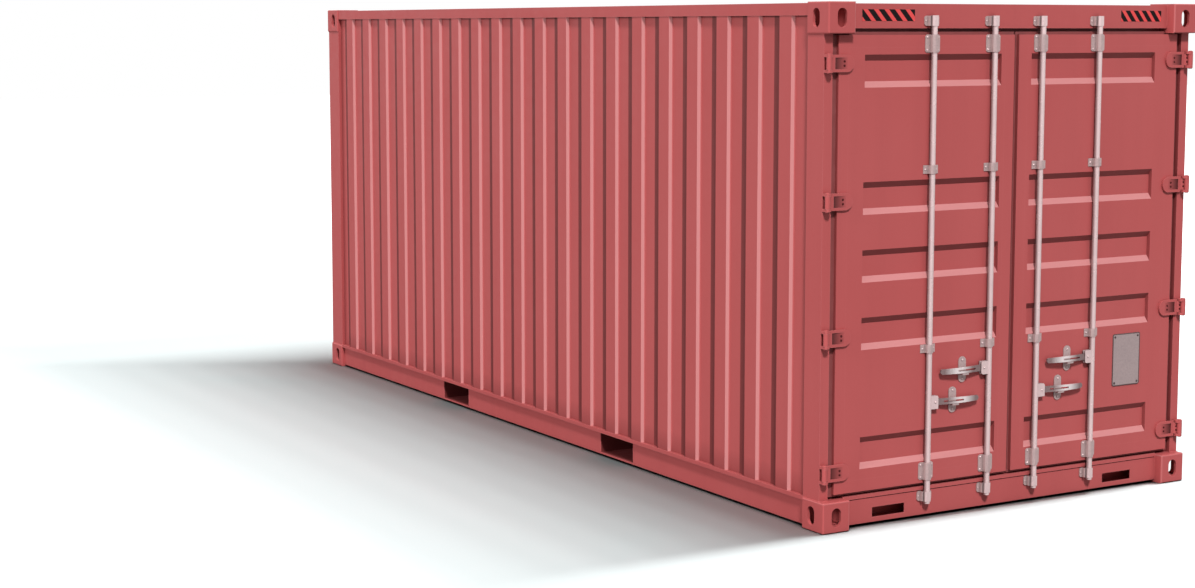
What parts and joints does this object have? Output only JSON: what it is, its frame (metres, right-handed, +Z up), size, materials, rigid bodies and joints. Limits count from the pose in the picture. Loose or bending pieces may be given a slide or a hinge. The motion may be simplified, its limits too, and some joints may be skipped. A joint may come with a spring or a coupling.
{
  "type": "shipping container",
  "caption": "Corrugated steel shipping container with hinged double doors, turning lock rods, lift-out handles, hollow corner castings and fork pockets.",
  "frame": {"origin": "middle of the base, at the level of the lower castings' bottom faces", "axes": "+Z up, +X along the container towards its door end, +Y away from the long side that the picture shows"},
  "size_m": [6.058, 2.438, 2.591],
  "materials": {
    "paint": "satin faded red paint",
    "plywood": "worn sealed plywood",
    "seal_rubber": "matt black rubber",
    "zinc_grey": "dull zinc",
    "rod_metal": "dull galvanised",
    "plate_metal": "dull"
  },
  "bodies": {
    "frame": {"castings_door_end": "paint", "castings_blind_end": "paint", "door_post_right": "paint", "door_post_left": "paint", "blind_post_right": "paint", "blind_post_left": "paint", "top_rail_right": "paint", "top_rail_left": "paint", "bottom_rail_right": "paint", "bottom_rail_left": "paint", "pocket_bridges": "paint", "door_header": "paint", "header_stop": "paint", "door_sill": "paint", "sill_lip": "paint", "blind_header": "paint", "blind_sill": "paint", "side_wall_right": "paint", "side_wall_left": "paint", "end_wall": "paint", "roof_sheet": "paint", "floor_boards": "plywood", "cross_members": "paint", "pocket_sides": "paint", "pocket_plates": "paint", "cam_keepers": "zinc_grey", "hinge_lugs": "paint"},
    "door_left": {"left_door_frame": "paint", "left_door_panel": "paint", "left_door_gasket": "seal_rubber", "left_hinge_blades": "paint", "left_rod_brackets": "zinc_grey", "left_handle_catches": "zinc_grey"},
    "door_right": {"right_door_frame": "paint", "right_door_panel": "paint", "right_door_gasket": "seal_rubber", "right_hinge_blades": "paint", "right_rod_brackets": "zinc_grey", "right_handle_catches": "zinc_grey", "data_plate": "plate_metal"},
    "lock_rod_1": {"lock_rod_1": "rod_metal"},
    "lock_rod_2": {"lock_rod_2": "rod_metal"},
    "lock_rod_3": {"lock_rod_3": "rod_metal"},
    "lock_rod_4": {"lock_rod_4": "rod_metal"},
    "handle_1": {"handle_1": "rod_metal"},
    "handle_2": {"handle_2": "rod_metal"},
    "handle_3": {"handle_3": "rod_metal"},
    "handle_4": {"handle_4": "rod_metal"}
  },
  "joints": [
    {"name": "door_left_hinge", "type": "hinge", "parent": "frame", "child": "door_left", "pos_m": [3.011, -1.201, 1.29], "axis": [0, 0, -1], "range_deg": [0, 265]},
    {"name": "door_right_hinge", "type": "hinge", "parent": "frame", "child": "door_right", "pos_m": [3.011, 1.201, 1.29], "axis": [0, 0, 1], "range_deg": [0, 265]},
    {"name": "rod_1_turn", "type": "hinge", "parent": "door_left", "child": "lock_rod_1", "pos_m": [3.002, -0.551, 1.3], "axis": [0, 0, 1], "range_deg": [-110, 0]},
    {"name": "rod_2_turn", "type": "hinge", "parent": "door_left", "child": "lock_rod_2", "pos_m": [3.002, -0.16, 1.3], "axis": [0, 0, -1], "range_deg": [-110, 0]},
    {"name": "rod_3_turn", "type": "hinge", "parent": "door_right", "child": "lock_rod_3", "pos_m": [3.002, 0.16, 1.3], "axis": [0, 0, 1], "range_deg": [-110, 0]},
    {"name": "rod_4_turn", "type": "hinge", "parent": "door_right", "child": "lock_rod_4", "pos_m": [3.002, 0.551, 1.3], "axis": [0, 0, -1], "range_deg": [-110, 0]},
    {"name": "handle_1_lift", "type": "hinge", "parent": "lock_rod_1", "child": "handle_1", "pos_m": [3.002, -0.514, 0.59], "axis": [1, 0, 0], "range_deg": [0, 18]},
    {"name": "handle_2_lift", "type": "hinge", "parent": "lock_rod_2", "child": "handle_2", "pos_m": [3.002, -0.197, 0.74], "axis": [-1, 0, 0], "range_deg": [0, 18]},
    {"name": "handle_3_lift", "type": "hinge", "parent": "lock_rod_3", "child": "handle_3", "pos_m": [3.002, 0.197, 0.59], "axis": [1, 0, 0], "range_deg": [0, 18]},
    {"name": "handle_4_lift", "type": "hinge", "parent": "lock_rod_4", "child": "handle_4", "pos_m": [3.002, 0.514, 0.74], "axis": [-1, 0, 0], "range_deg": [0, 18]}
  ]
}
